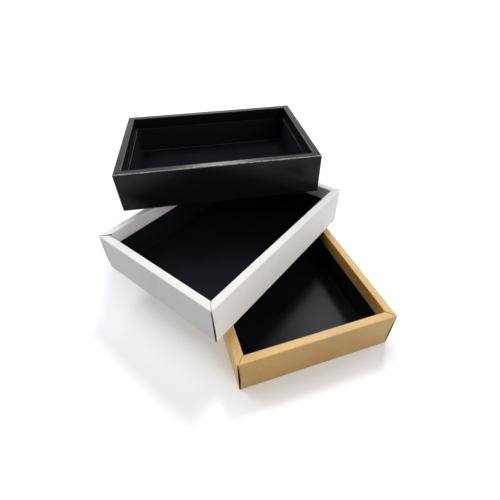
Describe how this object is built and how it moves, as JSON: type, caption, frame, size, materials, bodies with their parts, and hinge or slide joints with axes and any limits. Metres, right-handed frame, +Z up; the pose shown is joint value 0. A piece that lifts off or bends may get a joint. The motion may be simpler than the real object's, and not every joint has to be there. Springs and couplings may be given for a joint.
{
  "type": "stack of sushi boxes",
  "caption": "Fanned stack of shallow takeaway food cartons with hollow folded walls, each holding a loose black tray.",
  "frame": {"origin": "middle of the kraft carton's underside, on the surface that the stack stands on", "axes": "+Z up; the kraft carton's short side lies along X and its long side along Y; the stack fans out towards +Y"},
  "size_m": [0.276, 0.3543, 0.1365],
  "materials": {
    "kraft_board": "uncoated brown kraft board with fine fibres",
    "white_board": "matt white board with faint fibres",
    "black_board": "black board with a satin sheen and paler creases",
    "tray_board": "black board with a soft sheen"
  },
  "bodies": {
    "root": {"kraft_carton": "kraft_board", "kraft_tray": "tray_board", "white_carton": "white_board", "white_tray": "tray_board", "black_carton": "black_board", "black_tray": "tray_board"}
  },
  "joints": []
}
